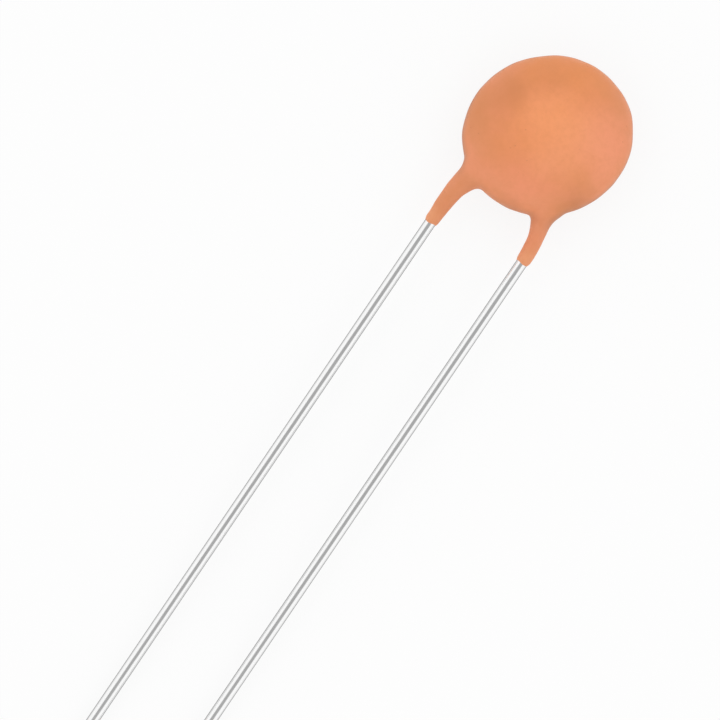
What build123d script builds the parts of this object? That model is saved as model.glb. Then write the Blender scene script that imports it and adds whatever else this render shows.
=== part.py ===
from build123d import *
from math import asin, cos, degrees, radians, sin, sqrt, tan
import os

# A ceramic disc capacitor with two straight wire leads. All lengths are in millimetres.
# It is drawn about the middle of its disc, with the leads along -Y and the front face to +Z.
# Last of all it is laid on a flat surface, which its belly and both cut lead ends then touch.

# Sizes of the leads
lead_pitch = 5.0
wire_diameter = 0.6
lead_reach = 39.5
cut_chamfer = 0.06
inner_reach = 1.0
exit_lean = 4.0
face_lean = 15.0
exit_bend = 3.0
jog_bend = 0.8
jog_clear = 0.28
jog_length = 0.9

# Sizes of the ceramic disc, its electrodes and the solder
ceramic_diameter = 6.8
ceramic_thickness = 0.4
ceramic_chamfer = 0.06
electrode_margin = 0.3
electrode_thickness = 0.03
solder_film = 0.05
solder_width = 1.4
solder_height = 0.5
solder_taper = 24.0
solder_inset = 1.0

# Sizes of the coating
edge_coat_short = 0.63
edge_coat_long = 0.945
face_coat = 0.62
root_fillet = 0.6
body_turn = 51.2
run_left = 3.42
run_right = 2.86

# The coat over the wire on its outer, inner, near-face and far-face side, at even steps down
# each lead: from the root inside the body to the tip of the coated run.
root_share = -0.2
coat_left = [
    (0.35, 0.35, 0.08, 1.00),
    (0.43, 0.58, 0.28, 0.84),
    (0.23, 0.82, 0.41, 0.43),
    (0.20, 0.46, 0.28, 0.24),
    (0.23, 0.19, 0.19, 0.17),
    (0.18, 0.12, 0.14, 0.13),
    (0.13, 0.08, 0.11, 0.10),
    (0.09, 0.07, 0.09, 0.08),
    (0.06, 0.06, 0.06, 0.06),
]
coat_right = [
    (0.35, 0.20, 0.00, 0.90),
    (0.44, 0.31, 0.10, 1.00),
    (0.22, 0.38, 0.28, 0.70),
    (0.09, 0.44, 0.33, 0.33),
    (0.10, 0.25, 0.24, 0.18),
    (0.12, 0.11, 0.15, 0.13),
    (0.12, 0.07, 0.11, 0.11),
    (0.12, 0.05, 0.08, 0.08),
    (0.08, 0.05, 0.06, 0.06),
]

# Values worked out from the sizes above
wire_radius = wire_diameter / 2
ceramic_radius = ceramic_diameter / 2
electrode_radius = ceramic_radius - electrode_margin
electrode_top = ceramic_thickness / 2 + electrode_thickness
wire_height = electrode_top + solder_film + wire_radius
body_half = wire_height + wire_radius + face_coat
half_long = ceramic_radius + edge_coat_long
half_short = ceramic_radius + edge_coat_short
half_mean = (half_long + half_short) / 2
flat_radius = half_mean - body_half
oval_shift = (half_long - half_short) * (1 + sqrt(0.5))

FRONT, BACK = 1, -1
LEFT, RIGHT = -1, 1


def body_edge(x):
    """Distance from the middle of the disc, along -Y, to the coating's outline at x."""
    turned_cos = cos(radians(body_turn))
    turned_sin = sin(radians(body_turn))
    square = (turned_sin / half_long) ** 2 + (turned_cos / half_short) ** 2
    linear = x * turned_cos * turned_sin * (1 / half_long**2 - 1 / half_short**2)
    constant = x**2 * ((turned_cos / half_long) ** 2 + (turned_sin / half_short) ** 2) - 1
    return (linear + sqrt(linear**2 - square * constant)) / square


def run_tip(side, run):
    """Y of the tip of the coated run on one lead."""
    return -body_edge(side * lead_pitch / 2) - run


def wire_points(side, face, run):
    """Corners of one lead's middle line, from its soldered end to its cut end."""
    knee_y = run_tip(side, run) + exit_bend * tan(radians(exit_lean / 2))
    lead_x = lead_pitch / 2
    inner_flank = lead_x - wire_diameter
    ceramic_edge = sqrt(max(ceramic_radius**2 - inner_flank**2, 0))
    step_y = -ceramic_edge - jog_clear
    middle_y = step_y - jog_length
    middle_x = lead_x - (middle_y - knee_y) * tan(radians(exit_lean))
    step_x = middle_x - jog_length * tan(radians(face_lean))
    inner_x = step_x - (inner_reach - step_y) * tan(radians(face_lean))
    height = face * wire_height
    return [
        (side * inner_x, inner_reach, height),
        (side * step_x, step_y, height),
        (side * middle_x, middle_y, 0),
        (side * lead_x, knee_y, 0),
        (side * lead_x, -lead_reach, 0),
    ]


def wire_middle(points, y):
    """X and Z of a lead's middle line where it passes y."""
    for upper, lower in zip(points, points[1:]):
        if lower[1] <= y <= upper[1]:
            share = (upper[1] - y) / (upper[1] - lower[1])
            return (
                upper[0] + share * (lower[0] - upper[0]),
                upper[2] + share * (lower[2] - upper[2]),
            )
    raise ValueError("the lead does not pass this height")


def coated_run(side, face, run, coats):
    """The coat that runs down one lead, lofted through sections square to the lead."""
    points = wire_points(side, face, run)
    root_y = -body_edge(side * lead_pitch / 2) - root_share * run
    step = (root_y - run_tip(side, run)) / (len(coats) - 1)
    with BuildPart() as coat:
        for index, (outer, inner, near, far) in enumerate(coats):
            y = root_y - index * step
            wire_x, wire_z = wire_middle(points, y)
            x = wire_x + side * (outer - inner) / 2
            z = wire_z + face * (near - far) / 2
            with BuildSketch(Plane(origin=(x, y, z), x_dir=(1, 0, 0), z_dir=(0, -1, 0))):
                Ellipse(wire_radius + (outer + inner) / 2, wire_radius + (near + far) / 2)
        loft()
    return coat


def lead(side, face, run):
    """Sweep one lead: soldered end, step down to the middle of the disc, free straight length."""
    with BuildPart() as wire:
        with BuildLine() as middle_line:
            FilletPolyline(*wire_points(side, face, run), radius=[jog_bend, jog_bend, exit_bend])
        with BuildSketch(Plane(origin=middle_line.line @ 0, z_dir=middle_line.line % 0)):
            Circle(wire_radius)
        sweep(path=middle_line.line)
        chamfer(wire.faces().sort_by(Axis.Y)[0].edges(), cut_chamfer)
    return wire


def face_plane(face, height):
    """Plane on one face of the disc, looking outwards."""
    return Plane(origin=(0, 0, face * height), x_dir=(1, 0, 0), z_dir=(0, 0, face))


def electrode(face):
    """One fired silver film on the ceramic disc."""
    with BuildPart() as film:
        with BuildSketch(face_plane(face, ceramic_thickness / 2)):
            Circle(electrode_radius)
        extrude(amount=electrode_thickness)
    return film


def solder(side, face, run, wire):
    """The solder mound that holds one lead to its electrode."""
    points = wire_points(side, face, run)
    inner_y = inner_reach
    outer_y = solder_inset - electrode_radius
    inner_x = wire_middle(points, inner_y)[0]
    outer_x = wire_middle(points, outer_y)[0]
    middle = ((inner_x + outer_x) / 2, face * (inner_y + outer_y) / 2)
    with BuildPart() as mound:
        with BuildSketch(face_plane(face, electrode_top)):
            SlotCenterPoint(middle, (inner_x, face * inner_y), solder_width)
        extrude(amount=solder_height, taper=solder_taper)
        add(wire.part, mode=Mode.SUBTRACT)
    return mound


with BuildPart() as ceramic_disc:
    with BuildSketch(Plane.XY.offset(-ceramic_thickness / 2)):
        Circle(ceramic_radius)
    extrude(amount=ceramic_thickness)
    chamfer(ceramic_disc.edges(), ceramic_chamfer)

electrode_front = electrode(FRONT)
electrode_back = electrode(BACK)
lead_left = lead(LEFT, FRONT, run_left)
lead_right = lead(RIGHT, BACK, run_right)
solder_front = solder(LEFT, FRONT, run_left, lead_left)
solder_back = solder(RIGHT, BACK, run_right, lead_right)

coated_run_left = coated_run(LEFT, FRONT, run_left, coat_left)
coated_run_right = coated_run(RIGHT, BACK, run_right, coat_right)

# The dipped body: an oval of four quarter arcs, with flat faces and a full round rim
end_arc = half_long - oval_shift - body_half
side_arc = half_short + oval_shift - body_half
with BuildPart() as dipped_body:
    with BuildLine() as rim_line:
        CenterArc((oval_shift, 0), end_arc, -45, 90)
        CenterArc((0, -oval_shift), side_arc, 45, 90)
        CenterArc((-oval_shift, 0), end_arc, 135, 90)
        CenterArc((0, oval_shift), side_arc, 225, 90)
    with BuildSketch():
        add(rim_line.line)
        make_face()
    extrude(amount=body_half, both=True)
    with BuildSketch(Plane(origin=rim_line.line @ 0, x_dir=(1, -1, 0), z_dir=(1, 1, 0))):
        with BuildLine():
            CenterArc((0, 0), body_half, -90, 180)
            Line((0, -body_half), (0, body_half))
        make_face()
    sweep(path=rim_line.line)

# The coating: the oval body turned as it was dipped, its two runs, and hollows for all it holds
with BuildPart() as resin_coating:
    add(dipped_body.part, rotation=(0, 0, body_turn))
    for run in [coated_run_left, coated_run_right]:
        add(run.part)
        fillet(resin_coating.edges(Select.NEW), root_fillet)
    for inner_piece in [
        ceramic_disc,
        electrode_front,
        electrode_back,
        solder_front,
        solder_back,
        lead_left,
        lead_right,
    ]:
        add(inner_piece.part, mode=Mode.SUBTRACT)

# The finished pieces by the names of their nodes
pieces = {
    "resin_coating": resin_coating,
    "ceramic_disc": ceramic_disc,
    "electrode_front": electrode_front,
    "electrode_back": electrode_back,
    "lead_left": lead_left,
    "lead_right": lead_right,
    "solder_front": solder_front,
    "solder_back": solder_back,
}

# The part lies down: it turns about X until its belly and its cut ends lie in one plane
rest_tilt = degrees(asin((body_half - wire_radius) / (lead_reach - flat_radius)))
rest_shift = (lead_reach - body_edge(0)) / 2
tilted = Location((0, 0, 0), (rest_tilt, 0, 0))
lowest = min(piece.part.moved(tilted).bounding_box().min.Z for piece in pieces.values())
lying = Location((0, rest_shift, -lowest)) * tilted

os.makedirs("parts", exist_ok=True)
for name, piece in pieces.items():
    piece.part.move(lying)
    piece.part.label = name
    export_step(piece.part, f"parts/{name}.step")
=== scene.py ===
import bpy
import numpy as np
from math import asin, cos, radians, sin, tan
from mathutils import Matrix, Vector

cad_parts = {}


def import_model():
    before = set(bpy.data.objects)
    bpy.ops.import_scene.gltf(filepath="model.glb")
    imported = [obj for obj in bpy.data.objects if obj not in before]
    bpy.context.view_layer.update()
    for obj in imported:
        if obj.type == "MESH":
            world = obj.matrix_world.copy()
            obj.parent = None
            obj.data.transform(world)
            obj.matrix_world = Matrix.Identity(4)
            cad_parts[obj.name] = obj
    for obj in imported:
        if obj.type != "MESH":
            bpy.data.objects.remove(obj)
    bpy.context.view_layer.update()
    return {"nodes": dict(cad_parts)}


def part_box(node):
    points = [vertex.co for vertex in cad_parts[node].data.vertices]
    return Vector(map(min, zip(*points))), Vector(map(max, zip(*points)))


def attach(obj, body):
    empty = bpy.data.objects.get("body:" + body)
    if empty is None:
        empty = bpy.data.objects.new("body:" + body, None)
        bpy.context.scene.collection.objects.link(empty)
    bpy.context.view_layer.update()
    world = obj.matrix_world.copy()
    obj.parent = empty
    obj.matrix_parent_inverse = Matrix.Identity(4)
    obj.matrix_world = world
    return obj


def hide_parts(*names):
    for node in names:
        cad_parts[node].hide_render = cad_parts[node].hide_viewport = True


# A ceramic disc capacitor lying on a pale floor, seen from straight above
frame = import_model()
scene = bpy.context.scene

MM = 0.001
LEFT, RIGHT = -1, 1
FRONT, BACK = 1, -1

# Sizes of the part in millimetres, about the middle of its disc with the leads along -Y
LEAD_X = 2.5
LEAD_REACH = 39.5
WIRE_RADIUS = 0.3
WIRE_HEIGHT = 0.58
EXIT_LEAN = 4.0
FACE_LEAN = 15.0
STEP_Y = -3.1
MIDDLE_Y = -4.0
INNER_Y = 1.0
HALF_LONG = 4.355
HALF_SHORT = 4.04
BODY_HALF = 1.5
FLAT_RADIUS = 2.69
BODY_TURN = 48.4
BODY_SHIFT = -0.044

# The coat over each wire on its outer, inner, near-face and far-face side, at even steps from
# the root inside the body to the tip of the coated run
ROOT_LEFT = -2.87
TIP_LEFT = -6.97
COAT_LEFT = [
    (0.38, 0.35, 0.08, 1.00),
    (0.36, 0.56, 0.28, 0.84),
    (0.21, 0.65, 0.41, 0.43),
    (0.24, 0.35, 0.28, 0.24),
    (0.26, 0.14, 0.19, 0.17),
    (0.22, 0.10, 0.14, 0.13),
    (0.17, 0.07, 0.11, 0.10),
    (0.09, 0.07, 0.09, 0.08),
    (0.06, 0.06, 0.06, 0.06),
]
ROOT_RIGHT = -2.61
TIP_RIGHT = -6.08
COAT_RIGHT = [
    (0.48, 0.20, 0.10, 0.90),
    (0.39, 0.31, 0.10, 1.00),
    (0.16, 0.38, 0.28, 0.70),
    (0.04, 0.44, 0.33, 0.33),
    (0.08, 0.25, 0.24, 0.18),
    (0.12, 0.11, 0.15, 0.13),
    (0.12, 0.07, 0.11, 0.11),
    (0.12, 0.05, 0.08, 0.08),
    (0.08, 0.05, 0.06, 0.06),
]
RUNS = [
    (LEFT, FRONT, ROOT_LEFT, TIP_LEFT, COAT_LEFT),
    (RIGHT, BACK, ROOT_RIGHT, TIP_RIGHT, COAT_RIGHT),
]

# The dipped body: how flat its faces are and how round its rim is
FACE_POWER = 4.5
RIM_POWER = 2.0

# Steps along a wire, how many of them round off its bends and the changes of its coat, and how
# far past its coat it is followed
FINE_STEP = 0.02
BEND_STEPS = 12
COAT_STEPS = 14
BEYOND_TIP = 1.0

# How far each run reaches into the body, how wide its root is blended between the leads and
# outside them, and where across the lead the one width turns into the other
ROOT_OVERLAP = 0.6
BLEND_INNER = 0.31
BLEND_OUTER = 0.28
BLEND_CHANGE_X = 2.3
BLEND_CHANGE_WIDTH = 0.6

# The tip of a run: where it thins out, with a tongue on either side and an uneven edge
TIP_THIN = 0.30
TIP_DEPTH = 0.09
TIP_REACH = 0.11
TIP_TONGUE = 0.06
TIP_WAVER = 0.02
TIP_MARGIN = 0.25

# Low swells of the resin: a share, then two sine waves by their X, Y and Z steps and phase
WAVE_DEPTH = 0.016
WAVES = [
    (1.00, (1.3, 0.7, 0.0, 0.4), (-0.5, 0.9, 0.0, 1.1)),
    (0.60, (2.3, -1.1, 1.0, 2.0), (0.8, 1.9, 0.0, 0.0)),
    (0.35, (3.9, 2.7, 0.0, 0.0), (-2.2, 3.1, 1.0, 0.7)),
]

# The grid that the skin is found on, the steps that pull its points onto the surface, and the
# least values that keep them from dividing by nothing
SKIN_LOW = (-4.8, -7.5, -2.0)
SKIN_HIGH = (4.8, 4.8, 2.0)
VOXEL = 0.075
PULLS = 12
PULL_SHARE = 0.8
LONGEST_PULL = 0.5
NUDGE = 1e-3
LEAST_SLOPE = 1e-6
LEAST_LENGTH = 1e-12
LEAST_LEVEL = 1e-9

# Metals: how their grain varies in tone and roughness, and how upright a face is where the
# painted shade on its flanks starts and where it is at its fullest
GRAIN_SHADE = 0.90
GRAIN_SMOOTHER = 0.80
GRAIN_ROUGHER = 1.25
FLANK_START = 0.62
FLANK_FULL = 0.30

# The floor in metres, and the light: the sky's greys from the horizon to straight overhead
FLOOR_HALF = 2.0
FLOOR_DROP = 0.00002
FLOOR_GREY = 0.92
FLOOR_GLOW = 0.86
SKY_STRENGTH = 1.16
SKY_STOPS = [(0.0, 1.0), (0.80, 1.0), (0.90, 0.40), (1.0, 0.40)]

# The camera: its place over the floor, its turn, the width it sees and at which height, in
# millimetres and degrees, and how near and far it sees, in metres
VIEW_X = -1.533
VIEW_Y = 2.900
VIEW_TURN = 34.15
VIEW_WIDTH = 36.52
VIEW_LENS = 120.0
VIEW_SENSOR = 36.0
VIEW_PLANE = 1.5
VIEW_NEAR = 0.01
VIEW_FAR = 5.0


# Shape of the resin skin

def smooth_min(a, b, width):
    """The lesser of two distances, rounded where they meet."""
    share = np.clip(0.5 + 0.5 * (b - a) / width, 0, 1)
    return b + (a - b) * share - width * share * (1 - share)


def smoothed(values, steps):
    """A row of values with its corners rounded over that many steps each way."""
    weights = np.hanning(2 * steps + 3)[1:-1]
    padded = np.concatenate([np.full(steps, values[0]), values, np.full(steps, values[-1])])
    return np.convolve(padded, weights / weights.sum(), mode="valid")


def body_distance(x, y, z):
    """Rough distance from the dipped body, a flat oval with soft faces and a round rim."""
    turn = radians(BODY_TURN)
    x = x - BODY_SHIFT
    along = (x * cos(turn) + y * sin(turn)) / HALF_LONG
    across = (-x * sin(turn) + y * cos(turn)) / HALF_SHORT
    ring = np.sqrt(along**2 + across**2)
    height = np.abs(z / BODY_HALF)
    level = (ring**FACE_POWER + height**RIM_POWER + LEAST_LEVEL) ** (1 / RIM_POWER)
    return (level - 1) * BODY_HALF


def wire_line(side, face, tip_y):
    """X and Z of a lead's middle line at fine steps of Y, with its bends rounded."""
    lean = tan(radians(EXIT_LEAN))
    lean_face = tan(radians(FACE_LEAN))
    middle_x = LEAD_X - (MIDDLE_Y - tip_y) * lean
    step_x = middle_x - (STEP_Y - MIDDLE_Y) * lean_face
    inner_x = step_x - (INNER_Y - STEP_Y) * lean_face
    free_y = tip_y - BEYOND_TIP
    corners_y = [free_y, tip_y, MIDDLE_Y, STEP_Y, INNER_Y]
    fine_y = np.arange(free_y, INNER_Y, FINE_STEP)
    line_x = np.interp(fine_y, corners_y, [LEAD_X, LEAD_X, middle_x, step_x, inner_x])
    line_z = np.interp(fine_y, corners_y, [0, 0, 0, WIRE_HEIGHT, WIRE_HEIGHT])
    return fine_y, side * smoothed(line_x, BEND_STEPS), face * smoothed(line_z, BEND_STEPS)


def coat_sides(y, fine_y, root_y, tip_y, coats):
    """The coat over the wire at y on its four sides: outer, inner, near face and far face."""
    even_y = np.linspace(tip_y, root_y, len(coats))
    sides = []
    for column in zip(*coats[::-1]):
        coat = smoothed(np.interp(fine_y, even_y, column), COAT_STEPS)
        sides.append(np.interp(y, fine_y, coat))
    return sides


def run_distance(x, y, z, side, face, root_y, tip_y, coats):
    """Rough distance from the coat over one lead, which hugs the wire and thins to its tip."""
    fine_y, line_x, line_z = wire_line(side, face, tip_y)
    wire_x = np.interp(y, fine_y, line_x)
    wire_z = np.interp(y, fine_y, line_z)
    outer, inner, near, far = coat_sides(y, fine_y, root_y, tip_y, coats)
    middle_x = wire_x + side * (outer - inner) / 2
    middle_z = wire_z + face * (near - far) / 2
    half_x = WIRE_RADIUS + (outer + inner) / 2
    half_z = WIRE_RADIUS + (near + far) / 2
    spread = np.sqrt(((x - middle_x) / half_x) ** 2 + ((z - middle_z) / half_z) ** 2)
    round_about = np.arctan2(z - wire_z, x - wire_x)
    edge = TIP_TONGUE * np.cos(2 * round_about) + TIP_WAVER * np.sin(3 * round_about + side)
    past = np.clip((tip_y + TIP_THIN - TIP_REACH + edge - y) / TIP_THIN, 0, 2)
    coat = (spread - 1) * np.minimum(half_x, half_z) + past**2 * TIP_DEPTH
    return np.maximum(np.maximum(coat, y - root_y - ROOT_OVERLAP), tip_y - TIP_MARGIN - y)


def waves(x, y, z):
    """Soft low swells of the dried resin, the same each time."""
    swell = 0
    for share, *pair in WAVES:
        first, second = [np.sin(a * x + b * y + c * z + phase) for a, b, c, phase in pair]
        swell = swell + share * first * second
    return swell * WAVE_DEPTH


def skin_distance(x, y, z):
    """Rough distance from the whole skin: the body with its two runs, swollen a little."""
    skin = body_distance(x, y, z)
    for run in RUNS:
        side = run[0]
        outward = np.clip(0.5 + (side * x - BLEND_CHANGE_X) / BLEND_CHANGE_WIDTH, 0, 1)
        blend = BLEND_INNER + (BLEND_OUTER - BLEND_INNER) * outward
        skin = smooth_min(skin, run_distance(x, y, z, *run), blend)
    return skin + waves(x, y, z)


def cut_cells(inside):
    """Which cells of the grid the surface cuts: those with corners both inside and outside."""
    counts = np.array(inside.shape) - 1
    corners = np.zeros(counts, int)
    for start in np.ndindex(2, 2, 2):
        corners += inside[tuple(slice(first, first + count) for first, count in zip(start, counts))]
    return (corners > 0) & (corners < 8)


def crossing_quads(inside, number):
    """A quad round each grid edge that the surface crosses, facing outwards."""
    quads = []
    for axis in range(3):
        order = (axis, (axis + 1) % 3, (axis + 2) % 3)
        near = np.moveaxis(inside, order, (0, 1, 2))
        ids = np.moveaxis(number, order, (0, 1, 2))
        starts_inside = near[:-1, 1:-1, 1:-1]
        ends_inside = near[1:, 1:-1, 1:-1]
        for a, b, c in np.argwhere(starts_inside != ends_inside):
            ring = [ids[a, b, c], ids[a, b + 1, c], ids[a, b + 1, c + 1], ids[a, b, c + 1]]
            quads.append(ring if starts_inside[a, b, c] else ring[::-1])
    return np.array(quads).tolist()


def pulled_on(points, step, distance):
    """The points moved a short way down the slope of the distance, to where it is zero."""
    slopes = []
    for nudge in np.eye(3) * NUDGE:
        rise = distance(*(points + nudge).T) - distance(*(points - nudge).T)
        slopes.append(rise / (2 * NUDGE))
    slope = np.stack(slopes, axis=1)
    size = np.maximum((slope**2).sum(axis=1), LEAST_SLOPE)
    move = -(distance(*points.T) / size)[:, None] * slope
    length = np.maximum(np.linalg.norm(move, axis=1), LEAST_LENGTH)
    move *= np.minimum(1, LONGEST_PULL * step / length)[:, None]
    return points + PULL_SHARE * move


def surface_mesh(name, low, high, step, distance):
    """A closed quad mesh where a distance is zero: a point in each grid cell the surface cuts."""
    axes = [np.arange(a, b + step, step) for a, b in zip(low, high)]
    inside = distance(*np.meshgrid(*axes, indexing="ij")) < 0
    cut = cut_cells(inside)
    number = -np.ones(cut.shape, int)
    number[cut] = np.arange(cut.sum())
    points = np.array(low) + (np.argwhere(cut) + 0.5) * step
    for _ in range(PULLS):
        points = pulled_on(points, step, distance)
    mesh = bpy.data.meshes.new(name)
    mesh.from_pydata(points.tolist(), [], crossing_quads(inside, number))
    mesh.polygons.foreach_set("use_smooth", [True] * len(mesh.polygons))
    mesh.update()
    return mesh


def lie_down(mesh, low, high):
    """Lay the skin as the solids lie: tilted about X, then set on the floor at their place."""
    tilt = asin((BODY_HALF - WIRE_RADIUS) / (LEAD_REACH - FLAT_RADIUS))
    points = np.zeros(len(mesh.vertices) * 3)
    mesh.vertices.foreach_get("co", points)
    x, y, z = points.reshape(-1, 3).T
    tilted_y = y * cos(tilt) - z * sin(tilt)
    tilted_z = y * sin(tilt) + z * cos(tilt)
    tilted_y += high.y / MM - tilted_y.max()
    tilted_z += low.z / MM - tilted_z.min()
    lying = np.stack([x, tilted_y, tilted_z], axis=1) * MM
    mesh.vertices.foreach_set("co", lying.ravel())
    mesh.update()


skin_mesh = surface_mesh("resin_skin", SKIN_LOW, SKIN_HIGH, VOXEL, skin_distance)
lie_down(skin_mesh, *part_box("resin_coating"))
skin = bpy.data.objects.new("resin_skin", skin_mesh)
scene.collection.objects.link(skin)
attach(skin, "root")
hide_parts("resin_coating")


# Short ways to build node trees

class Tree:
    """A node tree, with short ways to add, join and mix."""

    def __init__(self, tree):
        self.tree = tree

    def add(self, kind):
        return self.tree.nodes.new(kind)

    def join(self, value, socket):
        """Feed a socket from another one, or set it to a constant."""
        if isinstance(value, bpy.types.NodeSocket):
            self.tree.links.new(value, socket)
        else:
            socket.default_value = value

    def math(self, kind, first, second=0.0):
        node = self.add("ShaderNodeMath")
        node.operation = kind
        self.join(first, node.inputs[0])
        self.join(second, node.inputs[1])
        return node.outputs[0]

    def part(self, vector, axis):
        """One coordinate of a vector."""
        node = self.add("ShaderNodeSeparateXYZ")
        self.join(vector, node.inputs[0])
        return node.outputs[axis]


class Nodes(Tree):
    """A new material with its shader, and nodes that measure in millimetres on the piece."""

    def __init__(self, name):
        self.material = bpy.data.materials.new(name)
        self.material.use_nodes = True
        super().__init__(self.material.node_tree)
        self.shader = self.tree.nodes["Principled BSDF"]
        self.place = self.add("ShaderNodeTexCoord").outputs["Object"]
        self.drifted = self.place

    def scaled(self, size):
        """The place on the piece, measured in steps of the given size."""
        node = self.add("ShaderNodeMapping")
        self.join(self.place, node.inputs["Vector"])
        steps = size if isinstance(size, tuple) else (size, size, size)
        node.inputs["Scale"].default_value = [1 / (MM * step) for step in steps]
        return node.outputs["Vector"]

    def noise_node(self, size, detail):
        node = self.add("ShaderNodeTexNoise")
        self.join(self.scaled(size), node.inputs["Vector"])
        node.inputs["Scale"].default_value = 1.0
        node.inputs["Detail"].default_value = detail
        return node

    def noise(self, size, detail=2.0, roughness=0.5):
        node = self.noise_node(size, detail)
        node.inputs["Roughness"].default_value = roughness
        return node.outputs["Fac"]

    def cells(self, size):
        """Distance to the nearest of scattered points, in steps of the given size."""
        node = self.add("ShaderNodeTexVoronoi")
        self.join(self.scaled(size), node.inputs["Vector"])
        node.inputs["Scale"].default_value = 1.0
        return node.outputs["Distance"]

    def range(self, value, low, high, to_low=0.0, to_high=1.0):
        """A value that goes smoothly from one number at low to another at high."""
        node = self.add("ShaderNodeMapRange")
        node.interpolation_type = "SMOOTHSTEP"
        for key, number in (
            ("Value", value),
            ("From Min", low),
            ("From Max", high),
            ("To Min", to_low),
            ("To Max", to_high),
        ):
            self.join(number, node.inputs[key])
        return node.outputs["Result"]

    def blend(self, share, first, second):
        node = self.add("ShaderNodeMix")
        node.data_type = "RGBA"
        self.join(share, node.inputs["Factor"])
        self.join(first, node.inputs["A"])
        self.join(second, node.inputs["B"])
        return [out for out in node.outputs if out.type == "RGBA"][0]

    def bump(self, height, depth, under=None):
        node = self.add("ShaderNodeBump")
        node.inputs["Distance"].default_value = depth * MM
        node.inputs["Strength"].default_value = 1.0
        self.join(height, node.inputs["Height"])
        if under is not None:
            self.join(under, node.inputs["Normal"])
        return node.outputs["Normal"]

    def drift(self, size, reach):
        """From here on, near() spots have wandering edges, pushed about by a soft noise."""
        noise = self.noise_node(size, 3.0)
        push = self.add("ShaderNodeVectorMath")
        push.operation = "MULTIPLY_ADD"
        self.join(noise.outputs["Color"], push.inputs[0])
        self.join((reach * MM, reach * MM, 0), push.inputs[1])
        self.join((-0.5 * reach * MM, -0.5 * reach * MM, 0), push.inputs[2])
        total = self.add("ShaderNodeVectorMath")
        self.join(self.place, total.inputs[0])
        self.join(push.outputs["Vector"], total.inputs[1])
        self.drifted = total.outputs["Vector"]

    def near(self, spot, size):
        """1 at a spot of the piece, falling to 0 over a size along each axis."""
        node = self.add("ShaderNodeMapping")
        self.join(self.drifted, node.inputs["Vector"])
        node.inputs["Scale"].default_value = [1 / (MM * step) for step in size]
        node.inputs["Location"].default_value = [-a / b for a, b in zip(spot, size)]
        away = self.add("ShaderNodeVectorMath")
        away.operation = "LENGTH"
        self.join(node.outputs["Vector"], away.inputs[0])
        return self.range(away.outputs["Value"], 0.0, 1.0, 1.0, 0.0)

    def set(self, **values):
        for key, value in values.items():
            self.join(value, self.shader.inputs[key.replace("_", " ")])


# Materials

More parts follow.
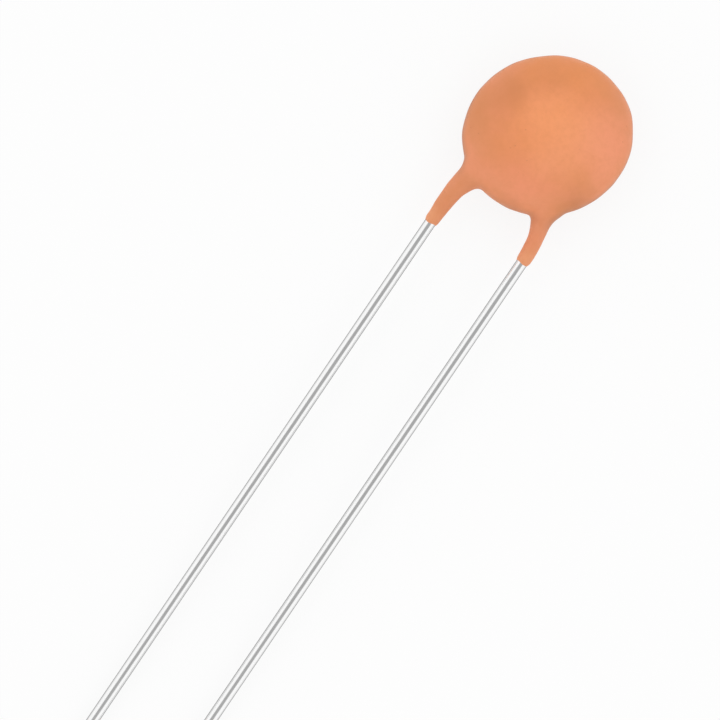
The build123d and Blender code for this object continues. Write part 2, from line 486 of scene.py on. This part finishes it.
def resin():
    """Dried dipped resin: satin orange, uneven in tone, with fine grain and a few specks, painted
    shade at its rim and lower half, and painted light in its middle.
    """
    n = Nodes("dipped_resin_skin")
    n.drift(size=1.6, reach=1.3)

    # Tints of the resin, from its rim to its middle and in its uneven areas. The rim and edge tints
    # are painted shade, the darker spot tint is painted shade, the brownish tint is its own tone
    # and also painted shade, and the warmer and light middle tints hold painted light.
    rim = (0.740, 0.272, 0.120, 1)
    # painted shade for the lower half of the rim
    edge = (0.470, 0.176, 0.075, 1)
    body = (0.830, 0.282, 0.104, 1)
    # partly its own warmer tone, partly painted light in the middle
    warm_tone_and_light = (0.938, 0.345, 0.143, 1)
    # a brownish tone of its own, also used as painted shade on the rim by the right lead
    brown_tone_and_shade = (0.660, 0.232, 0.080, 1)
    ochre = (0.800, 0.272, 0.082, 1)
    rosy = (0.880, 0.302, 0.158, 1)
    pale = (0.860, 0.370, 0.180, 1)
    # painted light in the middle
    light = (0.970, 0.380, 0.200, 1)
    # painted shade on the rim by the leads
    painted_shade = (0.490, 0.172, 0.056, 1)
    speck = (0.520, 0.180, 0.075, 1)

    # Each area by its middle, how wide and how long it is, its tint and its strength. An area
    # goes deep through the part, so that the back has it too.
    deep = 30.0
    areas = [
        ((-0.6, 20.9, 2.0), (3.6, 1.9, deep), ochre, 0.75),
        # Partly its own warmer tone and partly painted light: a brighter middle
        ((-0.2, 18.3, 2.0), (3.4, 3.1, deep), warm_tone_and_light, 0.95),
        ((2.7, 18.8, 2.0), (1.9, 2.2, deep), rosy, 0.75),
        # Painted light: a lighter patch in the middle
        ((1.9, 18.2, 2.0), (2.4, 2.8, deep), light, 0.45),
        ((0.6, 15.0, 2.0), (3.4, 1.8, deep), rosy, 0.65),
        ((-3.6, 16.8, 2.0), (1.6, 2.0, deep), brown_tone_and_shade, 0.60),
        ((-2.8, 18.4, 2.0), (1.6, 2.0, deep), brown_tone_and_shade, 0.75),
        ((-1.6, 19.9, 2.0), (1.7, 1.4, deep), brown_tone_and_shade, 0.40),
        # Painted shade on the rim beside the right lead and between the two leads
        ((2.9, 14.9, 2.0), (1.6, 1.1, deep), brown_tone_and_shade, 0.60),
        ((2.3, 16.2, 2.0), (1.4, 1.1, deep), brown_tone_and_shade, 0.30),
        ((3.4, 15.4, 2.0), (1.5, 1.6, deep), painted_shade, 0.65),
        ((0.5, 13.2, 1.6), (1.7, 1.1, deep), painted_shade, 0.45),
        ((-2.5, 19.8, 2.0), (1.6, 1.7, deep), ochre, 0.50),
        # Painted light: a lighter patch in the middle
        ((0.8, 16.5, 2.0), (2.2, 1.6, deep), light, 0.32),
        ((2.4, 13.2, 1.5), (1.3, 2.0, deep), rosy, 0.50),
        ((-2.65, 10.9, 1.2), (1.0, 0.75, deep), pale, 0.60),
        ((2.6, 11.8, 1.2), (1.0, 0.80, deep), pale, 0.60),
    ]
    # Painted shade: the colour darkens from the middle towards the rim, where the domed body turns
    # away from the light
    colour = n.blend(n.near((0.0, 17.6, 1.6), (5.1, 4.9, deep)), rim, body)
    clouds = n.noise(size=2.2, detail=3.0, roughness=0.55)
    colour = n.blend(n.range(clouds, 0.40, 0.70, to_high=0.50), colour, rosy)
    for spot, size, tint, share in areas:
        colour = n.blend(n.math("MULTIPLY", n.near(spot, size), share), colour, tint)
    mottling = n.noise(size=0.34, detail=4.0, roughness=0.7)
    colour = n.blend(n.range(mottling, 0.35, 0.75, to_high=0.20), colour, brown_tone_and_shade)

    # Painted shade: the lower half of the rim is darker, but not the runs down the leads
    lower_shade = n.range(n.part(n.place, "Z"), 1.62 * MM, 2.22 * MM, to_low=0.70, to_high=0.0)
    off_runs = n.range(n.part(n.place, "Y"), 12.8 * MM, 14.4 * MM)
    colour = n.blend(n.math("MULTIPLY", lower_shade, off_runs), colour, edge)

    # Fine specks, in some places only
    dots = n.range(n.cells(0.42), 0.05, 0.13, to_low=0.35, to_high=0.0)
    speckled = n.range(n.noise(size=0.9), 0.52, 0.60)
    colour = n.blend(n.math("MULTIPLY", dots, speckled), colour, speck)

    grain = n.bump(n.noise(size=0.09, detail=3.0, roughness=0.6), depth=0.0025)
    satin = n.noise(size=0.5, detail=3.0)
    n.set(
        Base_Color=colour,
        Roughness=n.range(satin, 0.3, 0.7, to_low=0.40, to_high=0.54),
        Normal=n.bump(n.noise(size=0.8, detail=3.0), depth=0.02, under=grain),
        IOR=1.42,
    )
    return n.material


def metal(name, colour, shaded_flank, roughness, edge, grain_size, grain_depth):
    """A plain metal with fine grain, painted shade darkening its steep flanks, and darker seen edge
    on.
    """
    n = Nodes(name)
    shade = [channel * GRAIN_SHADE for channel in colour[:3]] + [1]
    tone = n.blend(n.noise(grain_size, detail=3.0, roughness=0.6), shade, colour)
    normal = n.add("ShaderNodeTexCoord").outputs["Normal"]
    upright = n.math("ABSOLUTE", n.part(normal, "Z"))
    # Painted shade: the base colour darkens where the face stands upright, on the sides of the
    # piece
    dull = n.range(upright, FLANK_FULL, FLANK_START, to_low=1.0, to_high=0.0)
    smoother = roughness * GRAIN_SMOOTHER
    rougher = roughness * GRAIN_ROUGHER
    n.set(
        Base_Color=n.blend(dull, tone, shaded_flank),
        Metallic=1.0,
        Roughness=n.range(n.noise(grain_size), 0.3, 0.7, to_low=smoother, to_high=rougher),
        Specular_Tint=edge,
        Normal=n.bump(n.noise(grain_size, detail=3.0, roughness=0.6), grain_depth),
    )
    return n.material


def ceramic():
    """Unglazed sintered ceramic, a fine dull grain."""
    n = Nodes("sintered_ceramic")
    darker = (0.50, 0.42, 0.33, 1)
    lighter = (0.60, 0.52, 0.43, 1)
    n.set(
        Base_Color=n.blend(n.noise(size=0.2, detail=4.0, roughness=0.6), darker, lighter),
        Roughness=n.range(n.noise(size=0.3), 0.3, 0.7, to_low=0.7, to_high=0.85),
        Normal=n.bump(n.noise(size=0.06, detail=3.0, roughness=0.6), depth=0.004),
    )
    return n.material


skin_mesh.materials.append(resin())
# The wire, silver film and solder take painted shade on their flanks
wire_metal = metal(
    "drawn_tinned_wire",
    colour=(0.86, 0.86, 0.86, 1),
    shaded_flank=(0.45, 0.45, 0.45, 1),
    roughness=0.17,
    edge=(0.45, 0.45, 0.45, 1),
    grain_size=(0.03, 1.6, 0.03),
    grain_depth=0.0006,
)
silver = metal(
    "fired_silver_film",
    colour=(0.82, 0.80, 0.76, 1),
    shaded_flank=(0.66, 0.64, 0.60, 1),
    roughness=0.45,
    edge=(0.7, 0.7, 0.7, 1),
    grain_size=0.08,
    grain_depth=0.003,
)
solder_metal = metal(
    "dull_solder",
    colour=(0.62, 0.63, 0.64, 1),
    shaded_flank=(0.50, 0.51, 0.52, 1),
    roughness=0.32,
    edge=(0.6, 0.6, 0.6, 1),
    grain_size=0.3,
    grain_depth=0.01,
)
for node_name, material in (
    ("lead_left", wire_metal),
    ("lead_right", wire_metal),
    ("electrode_front", silver),
    ("electrode_back", silver),
    ("solder_front", solder_metal),
    ("solder_back", solder_metal),
    ("ceramic_disc", ceramic()),
):
    for slot in frame["nodes"][node_name].material_slots:
        slot.material = material


# Floor, light and camera

def floor():
    """A pale floor, white to the camera and in reflections, that keeps the part's shadow."""
    corners = [(-1, -1), (1, -1), (1, 1), (-1, 1)]
    mesh = bpy.data.meshes.new("floor")
    mesh.from_pydata([(x * FLOOR_HALF, y * FLOOR_HALF, 0) for x, y in corners], [], [(0, 1, 2, 3)])
    sheet = bpy.data.objects.new("floor", mesh)
    sheet.location.z = -FLOOR_DROP
    scene.collection.objects.link(sheet)
    material = bpy.data.materials.new("pale_floor")
    material.use_nodes = True
    n = Tree(material.node_tree)
    n.tree.nodes.clear()
    out = n.add("ShaderNodeOutputMaterial")
    matt = n.add("ShaderNodeBsdfDiffuse")
    glow = n.add("ShaderNodeEmission")
    mix = n.add("ShaderNodeMixShader")
    rays = n.add("ShaderNodeLightPath").outputs
    n.join((FLOOR_GREY, FLOOR_GREY, FLOOR_GREY, 1), matt.inputs["Color"])
    n.join((1, 1, 1, 1), glow.inputs["Color"])
    seen = n.math("MAXIMUM", rays["Is Camera Ray"], rays["Is Glossy Ray"])
    seen = n.math("MAXIMUM", seen, rays["Is Transmission Ray"])
    n.join(n.math("MULTIPLY", seen, FLOOR_GLOW), mix.inputs[0])
    n.join(matt.outputs[0], mix.inputs[1])
    n.join(glow.outputs[0], mix.inputs[2])
    n.join(mix.outputs[0], out.inputs[0])
    mesh.materials.append(material)


def world():
    """A white tent of light, greyer straight overhead."""
    sky = bpy.data.worlds.new("light_tent")
    scene.world = sky
    sky.use_nodes = True
    n = Tree(sky.node_tree)
    n.tree.nodes.clear()
    out = n.add("ShaderNodeOutputWorld")
    back = n.add("ShaderNodeBackground")
    ramp = n.add("ShaderNodeValToRGB")
    upward = n.part(n.add("ShaderNodeTexCoord").outputs["Generated"], "Z")
    n.join(upward, ramp.inputs[0])
    while len(ramp.color_ramp.elements) < len(SKY_STOPS):
        ramp.color_ramp.elements.new(0.5)
    for element, (position, grey) in zip(ramp.color_ramp.elements, SKY_STOPS):
        element.position = position
        element.color = (grey, grey, grey, 1)
    n.join(ramp.outputs[0], back.inputs["Color"])
    n.join(SKY_STRENGTH, back.inputs["Strength"])
    n.join(back.outputs[0], out.inputs[0])


def camera():
    """A camera that looks straight down and sees the set width at the height of the disc."""
    data = bpy.data.cameras.new("camera")
    data.sensor_width = VIEW_SENSOR
    data.lens = VIEW_LENS
    data.clip_start = VIEW_NEAR
    data.clip_end = VIEW_FAR
    eye = bpy.data.objects.new("camera", data)
    distance = VIEW_WIDTH * VIEW_LENS / VIEW_SENSOR
    eye.location = (VIEW_X * MM, VIEW_Y * MM, (VIEW_PLANE + distance) * MM)
    eye.rotation_euler = (0, 0, radians(VIEW_TURN))
    scene.collection.objects.link(eye)
    scene.camera = eye


floor()
world()
camera()
scene.view_settings.view_transform = "Standard"
